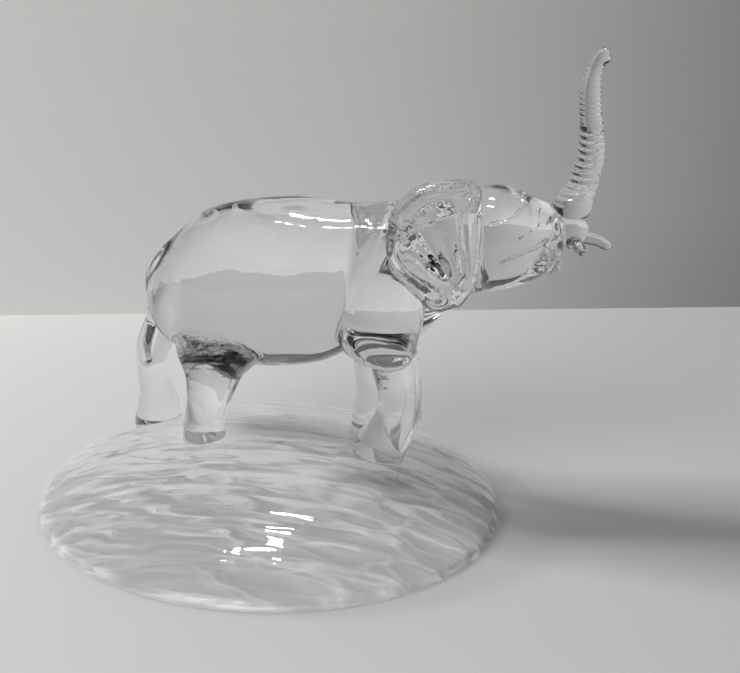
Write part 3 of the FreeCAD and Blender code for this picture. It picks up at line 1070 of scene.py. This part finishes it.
def base_tree():
    tree = bpy.data.node_groups.new("domed base", "GeometryNodeTree")
    sizes = {"Radius": BASE_RADIUS, "Height": CROWN, "Dome reach": DOME_REACH,
             "Dome drop": DOME_DROP, "Dome angle": EDGE_SLOPE, "Edge round": EDGE_ROUND,
             "Underside gap": 0.25 * MM, "Wave height": 0.7 * MM, "Ripple height": 0.2 * MM}
    for name, value in sizes.items():
        socket = tree.interface.new_socket(name, in_out="INPUT", socket_type="NodeSocketFloat")
        socket.default_value = value
    tree.interface.new_socket("Geometry", in_out="OUTPUT", socket_type="NodeSocketGeometry")
    graph = Graph(tree)

    def then(shape, kind, **inputs):
        """The shape after one more node."""
        return graph.wire(kind, None, {"Geometry": shape, **inputs})

    given = graph.node("NodeGroupInput")
    size = {name: Wire(graph, given.outputs[name]) for name in sizes}
    rows = DOME_ROWS + EDGE_ROWS + ROUND_ROWS + UNDER_ROWS
    grid = graph.wire("GeometryNodeMeshGrid", None, {
        "Size X": 1.0, "Size Y": 1.0, "Vertices X": rows + 1, "Vertices Y": AROUND + 1})
    u, v, _ = graph.split(graph.wire("GeometryNodeInputPosition"))
    row = (u + 0.5) * rows
    angle = (v + 0.5) * (2 * math.pi)
    dome = graph.clamp(row / DOME_ROWS) * size["Dome angle"]
    edge = graph.clamp((row - DOME_ROWS) / EDGE_ROWS)
    turn = graph.clamp((row - DOME_ROWS - EDGE_ROWS) / ROUND_ROWS) * (math.pi / 2)
    under = graph.clamp((row - DOME_ROWS - EDGE_ROWS - ROUND_ROWS) / UNDER_ROWS)
    top = graph.math("MINIMUM", size["Dome reach"] * graph.math("SINE", dome), size["Radius"])
    round_in = size["Edge round"] * (1 - graph.math("COSINE", turn))
    reach = top - round_in - (size["Radius"] - size["Edge round"]) * under
    reach = graph.math("MAXIMUM", reach, 0.0)
    dome_z = size["Height"] - size["Dome drop"] * (1 - graph.math("COSINE", dome))
    rim_up = size["Height"] - size["Dome drop"] * (1 - graph.math("COSINE", size["Dome angle"]))
    height = dome_z - (rim_up - size["Edge round"]) * edge
    height = height - size["Edge round"] * graph.math("SINE", turn)
    around = graph.join(reach * graph.math("COSINE", angle), reach * graph.math("SINE", angle), height)
    shape = then(grid, "GeometryNodeSetPosition", Position=around)
    shape = then(shape, "GeometryNodeMergeByDistance", Distance=0.002 * MM)
    position = graph.wire("GeometryNodeInputPosition")
    x, y, z = graph.split(position)
    out = graph.math("SQRT", x * x + y * y)
    broad, small = waves(graph, position)
    flat = graph.step(out, BASE_RADIUS - 7 * MM, BASE_RADIUS - 3 * MM)
    is_under = graph.math("LESS_THAN", z, 0.01 * MM)
    ridges = 0.7 * (1 - graph.step(broad, 0.0, 0.4)) + 0.3 * (1 - graph.step(small, 0.0, 0.4))
    lift = is_under * (1 - flat) * (size["Underside gap"] + size["Wave height"] * ridges)
    flow = graph.noise(graph.moved(position, (0.3, 1.0, 0.0)), 130.0, 1.0)
    is_top = graph.math("GREATER_THAN", z, RIM + 1 * MM)
    centre = 1 - graph.step(out, 30 * MM, 74 * MM)
    lift = lift + is_top * centre * size["Ripple height"] * (flow - 0.5) * 2.0
    shape = then(shape, "GeometryNodeSetPosition", Offset=graph.join(0.0, 0.0, lift))
    shape = then(shape, "GeometryNodeSetShadeSmooth")
    shape = then(shape, "GeometryNodeRealizeInstances")
    shape = then(shape, "GeometryNodeSetMaterial", Material=polished_crystal)
    inside_edge = graph.math("LESS_THAN", out, BASE_RADIUS - EDGE_ROUND)
    below = graph.math("LESS_THAN", z, 3 * MM) * inside_edge
    shape = then(shape, "GeometryNodeSetMaterial", Selection=below, Material=frosted_crystal)
    graph.node("NodeGroupOutput", None, {"Geometry": shape})
    return tree


def grown(name, tree):
    """The plain mesh that a node tree makes."""
    holder = bpy.data.objects.new(name, bpy.data.meshes.new(name))
    bpy.context.collection.objects.link(holder)
    holder.modifiers.new(name, "NODES").node_group = tree
    depsgraph = bpy.context.evaluated_depsgraph_get()
    mesh = bpy.data.meshes.new_from_object(holder.evaluated_get(depsgraph))
    bpy.data.objects.remove(holder)
    return mesh


turned_base = grown("turned_base", base_tree())
print("base:", len(turned_base.vertices), "points,", len(turned_base.polygons), "faces")

# %% [markdown]
# ## Footprints and the film of bond
# Each foot is bonded to the dome by a thin clear film. The dome is cut along the foot's outline
# and the faces inside it become joint faces. Raised by the film's thickness they are the film's
# top, and a strip round them is its only visible surface.

# %% Cut the footprints
def read_mesh(mesh):
    """A mesh's points, normals, triangles and the material of each triangle."""
    mesh.calc_loop_triangles()
    points = np.empty(len(mesh.vertices) * 3)
    mesh.vertices.foreach_get("co", points)
    normals = np.empty(len(mesh.vertices) * 3)
    mesh.vertices.foreach_get("normal", normals)
    triangles = np.empty(len(mesh.loop_triangles) * 3, np.int32)
    mesh.loop_triangles.foreach_get("vertices", triangles)
    finish = np.array([mesh.polygons[t.polygon_index].material_index for t in mesh.loop_triangles])
    return points.reshape(-1, 3), normals.reshape(-1, 3), triangles.reshape(-1, 3), finish


base_points, base_normals, base_triangles, base_finish = read_mesh(turned_base)
slots = [material.name if material else "" for material in turned_base.materials]
under_faces = base_finish == slots.index(frosted_crystal.name)
print("frosted faces:", int(under_faces.sum()), "of", len(under_faces), "in slots", slots)
body = Skin(base_points, base_normals, base_triangles, under_faces)
films = {}
FEET = {"front_bond_right": "front_leg_right", "front_bond_left": "front_leg_left",
        "hind_bond_right": "hind_leg_right", "hind_bond_left": "hind_leg_left"}
footprints = []
for bond, leg in FEET.items():
    sole = [bit for bit in bits if bit.piece == leg]
    local = ((body.points - HOME) / MM).T
    value = np.where(body.points[:, 2] > RIM, nearest(sole, local), FAR)
    print_part, body, rings = split(body, value, close=False)
    footprints.append(print_part)
    films[bond] = print_part
    print(bond, len(print_part.triangles), "triangles inside", leg)


def film_skin(sole):
    """A thin closed film: the sole's faces, the same faces raised, and a strip between them."""
    edges = sole.triangles[:, [0, 1, 1, 2, 2, 0]].reshape(-1, 2)
    keys = {(int(a), int(b)) for a, b in edges}
    border = np.array([(a, b) for a, b in keys if (b, a) not in keys])
    count = len(sole.points)
    raised = sole.points + [0, 0, FILM * MM]
    a, b = border.T
    strip = np.concatenate([np.array([a, b, b + count]).T, np.array([a, b + count, a + count]).T])
    triangles = np.concatenate([sole.triangles[:, ::-1], sole.triangles + count, strip])
    joint = np.r_[np.ones(2 * len(sole.triangles), bool), np.zeros(len(strip), bool)]
    return np.concatenate([sole.points, raised]), triangles, joint


# %% [markdown]
# ## Hand the pieces over
# Every piece becomes a plain mesh that rides on the one body, takes the place of its solid in the
# frame and says which finish of the record it has.

# %% Make the objects
def make_mesh(name, points, triangles, finishes, materials, normals=None):
    mesh = bpy.data.meshes.new(name)
    mesh.from_pydata(points.tolist(), [], triangles.tolist())
    for material in materials:
        mesh.materials.append(material)
    mesh.polygons.foreach_set("material_index", finishes.astype(np.int32))
    mesh.polygons.foreach_set("use_smooth", np.ones(len(triangles), bool))
    mesh.update()
    if normals is not None:
        mesh.normals_split_custom_set_from_vertices(normals.tolist())
    made = bpy.data.objects.new(name, mesh)
    bpy.context.collection.objects.link(made)
    return made


def hand_over(made, node):
    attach(made, "root")
    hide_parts(node)


for name, piece in pieces.items():
    made = make_mesh(name + "_glass", to_frame(piece.points), piece.triangles, piece.joint,
                     [clear_crystal, fused_joint], piece.normals)
    hand_over(made, name)
for name, sole in films.items():
    points, triangles, joint = film_skin(sole)
    made = make_mesh(name + "_film", points, triangles, joint, [bond_film, fused_joint])
    hand_over(made, name)
parts = [body] + footprints
counts = np.cumsum([0] + [len(part.points) for part in parts])
triangles = np.concatenate([part.triangles + start for part, start in zip(parts, counts)])
finishes = np.concatenate([np.where(part.joint, 1, 0) if i == 0 else np.full(len(part.triangles), 2)
                           for i, part in enumerate(parts)])
points = np.concatenate([part.points for part in parts])
made = make_mesh("base_glass", points, triangles, finishes,
                 [polished_crystal, frosted_crystal, fused_joint])
work = bmesh.new()
work.from_mesh(made.data)
bmesh.ops.remove_doubles(work, verts=work.verts, dist=1e-7)
print("base open edges:", sum(not edge.is_manifold for edge in work.edges))
work.to_mesh(made.data)
work.free()
hand_over(made, "base")

# %% [markdown]
# ## The camera
# The camera stands a little to the right of the figure's side and looks down on it. Its distance
# is set by the width of the base.

# %% Camera
BASE_MIDDLE = Vector(((base_low.x + base_high.x) / 2, (base_low.y + base_high.y) / 2, base_low.z))
CAMERA_ROUND = math.radians(10)
CAMERA_UP = math.radians(23.855)
CAMERA_DISTANCE = 4.0625 * 2 * BASE_RADIUS
AIM_YAW, AIM_PITCH, AIM_ROLL = (math.radians(angle) for angle in (-3.1505, 5.4046, 1.8202))
towards = Vector((math.sin(CAMERA_ROUND) * math.cos(CAMERA_UP),
                  -math.cos(CAMERA_ROUND) * math.cos(CAMERA_UP), math.sin(CAMERA_UP)))
camera = bpy.data.objects.new("camera", bpy.data.cameras.new("camera"))
bpy.context.collection.objects.link(camera)
camera.location = BASE_MIDDLE + CAMERA_DISTANCE * towards
camera.rotation_mode = "QUATERNION"
turn = (-towards).to_track_quat("-Z", "Y")
yaw = Quaternion((0, 0, 1), AIM_YAW)
pitch = Quaternion((1, 0, 0), AIM_PITCH)
roll = Quaternion((0, 0, 1), AIM_ROLL)
camera.rotation_quaternion = yaw @ turn @ pitch @ roll
camera.data.sensor_width = 36
camera.data.lens = 89.908
camera.data.clip_start = 0.01
bpy.context.scene.camera = camera

# %% [markdown]
# ## Table, backdrop and light
# A pale table, a plain board behind it with painted shade that darkens it towards the right, a wide
# low lamp on the left, and a soft fill from the front. Both are too large to be seen in the glass, so
# reflections leave them out, and small lamps overhead that light nothing make the highlights instead.
# Clear glass shows what is round it, so the edge of the board and the dark room matter as much as the
# lamps.

# %% Stage
def plain(name, colour, roughness=0.8):
    material, graph = new_material(name)
    speck = graph.noise(place(graph), 900.0, 3.0)
    speckled = tint(graph, speck, [0.97 * c for c in colour], [1.03 * c for c in colour])
    return material, graph, opaque(graph, speckled, roughness)


def panel(name, corners, material):
    mesh = bpy.data.meshes.new(name)
    mesh.from_pydata(corners, [], [(0, 1, 2, 3)])
    mesh.materials.append(material)
    made = bpy.data.objects.new(name, mesh)
    bpy.context.collection.objects.link(made)
    return made


table_top, graph, shader = plain("table_top", (0.62, 0.61, 0.6))
show(graph, shader)
REACH = 1.5
panel("table", [(-REACH, -REACH, 0), (REACH, -REACH, 0), (REACH, REACH, 0), (-REACH, REACH, 0)],
      table_top)
BOARD_TURN = math.radians(15)
BOARD_PALE = (0.86, 0.85, 0.84)
BOARD_SHADE_COLOUR = (0.36, 0.35, 0.34, 1)
board, graph, shader = plain("board", BOARD_PALE)
# Painted shade: the board's colour darkens from pale to a dark grey towards the right, as if less lit
# there.
x, y, _ = graph.split(place(graph))
along = x * math.cos(BOARD_TURN) + y * math.sin(BOARD_TURN)
board_painted_shade = graph.step(along, 0.02, 0.35)
shader = between(graph, board_painted_shade, shader, opaque(graph, BOARD_SHADE_COLOUR, 0.8))
behind = graph.wire("ShaderNodeNewGeometry", output="Backfacing")
clear = graph.wire("ShaderNodeBsdfTransparent")
show(graph, let_lamps_through(graph, between(graph, behind, shader, clear), 1.0))
BOARD_BACK = 0.225
BOARD_LEFT = 0.4
BOARD_RIGHT = 0.26
BOARD_HIGH = 0.2
back = Vector((-math.sin(BOARD_TURN), math.cos(BOARD_TURN), 0))
side = Vector((math.cos(BOARD_TURN), math.sin(BOARD_TURN), 0))
foot = BASE_MIDDLE + BOARD_BACK * back
up = Vector((0, 0, BOARD_HIGH))
panel("board", [foot + BOARD_RIGHT * side + up, foot - BOARD_LEFT * side + up,
                foot - BOARD_LEFT * side, foot + BOARD_RIGHT * side], board)


# %% Lamps and room
def softbox(name, at, target, size, power, shines=True, lights=True):
    """A lamp that may be left out of reflections, or light nothing and only be reflected."""
    light = bpy.data.lights.new(name, "AREA")
    light.shape = "RECTANGLE"
    light.size, light.size_y = size
    light.energy = power
    made = bpy.data.objects.new(name, light)
    made.location = at
    made.visible_glossy = shines
    made.visible_transmission = False
    made.visible_diffuse = lights
    made.rotation_euler = (Vector(target) - Vector(at)).to_track_quat("-Z", "Y").to_euler()
    bpy.context.collection.objects.link(made)
    return made


softbox("key", (-1.86, 0.04, 0.83), (0, 0, 0.05), (0.62, 0.26), 57, shines=False)
softbox("front_fill", (-0.5, -1.1, 0.8), (0, 0.1, 0), (0.8, 0.8), 10, shines=False)
for x in (-0.13, -0.08, -0.03):
    softbox("spot", (x, -0.03, 0.69), (0, 0, 0.1), (0.014, 0.03), 0.2, lights=False)
softbox("high_window", (-0.01, 0.13, 0.59), (0, -0.06, 0.02), (0.075, 0.035), 1.0, lights=False)
world = bpy.data.worlds.new("room")
bpy.context.scene.world = world
world.use_nodes = True
world.node_tree.nodes.clear()
graph = Graph(world.node_tree)
_, _, height = graph.split(graph.wire("ShaderNodeTexCoord", output="Generated"))
light_level = 0.02 + 0.1 * graph.step(height, 0.1, 0.9)
room_light = {"Color": (1.0, 0.985, 0.97, 1), "Strength": light_level}
sky = graph.wire("ShaderNodeBackground", None, room_light)
graph.node("ShaderNodeOutputWorld", None, {"Surface": sky})
scene = bpy.context.scene
scene.view_settings.view_transform = "Standard"
scene.cycles.max_bounces = 40
scene.cycles.transmission_bounces = 32
scene.cycles.glossy_bounces = 8
scene.cycles.transparent_max_bounces = 48
scene.cycles.caustics_refractive = False
scene.cycles.caustics_reflective = False
